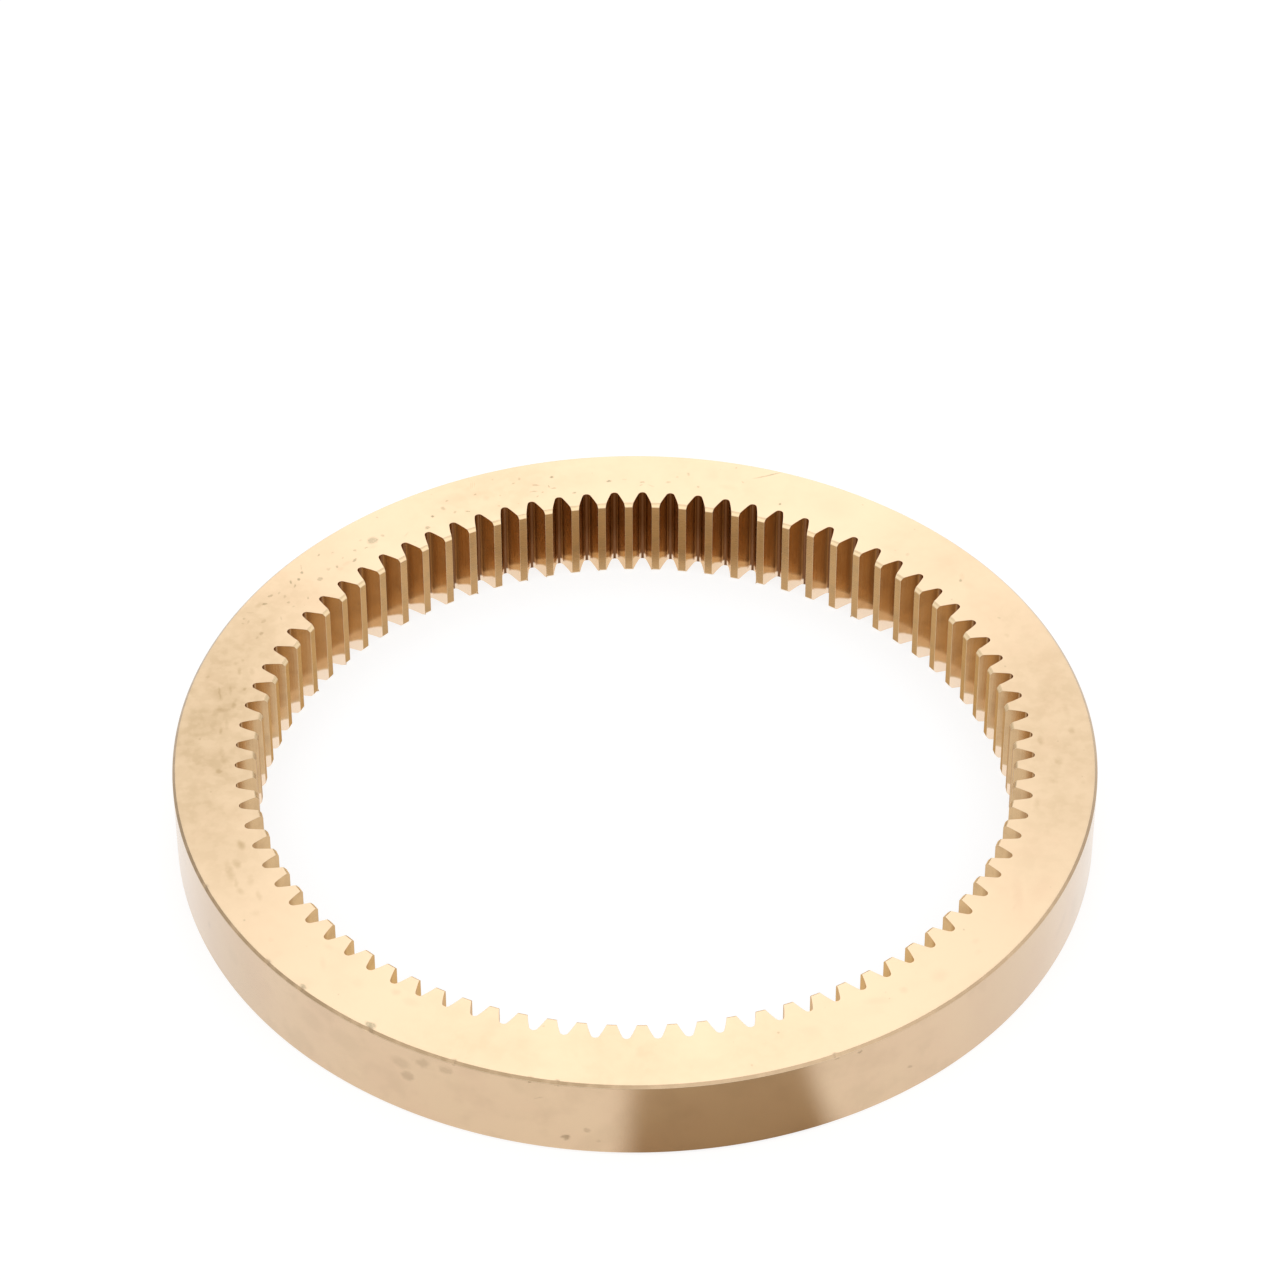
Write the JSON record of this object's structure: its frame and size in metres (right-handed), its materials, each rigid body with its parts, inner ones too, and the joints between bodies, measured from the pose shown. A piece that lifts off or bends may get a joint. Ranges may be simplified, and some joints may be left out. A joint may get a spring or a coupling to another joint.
{
  "type": "internal ring gear",
  "caption": "Flat brass ring with fine straight involute teeth all round its bore and a plain turned rim.",
  "frame": {"origin": "centre of the bottom face, on the gear's axis", "axes": "+Z along the gear's axis, up from the face that it rests on; +X through the middle of one tooth space"},
  "size_m": [0.052, 0.052, 0.0052],
  "materials": {
    "brass": "turned and faced brass, satin"
  },
  "bodies": {
    "root": {"ring_gear": "brass"}
  },
  "joints": []
}
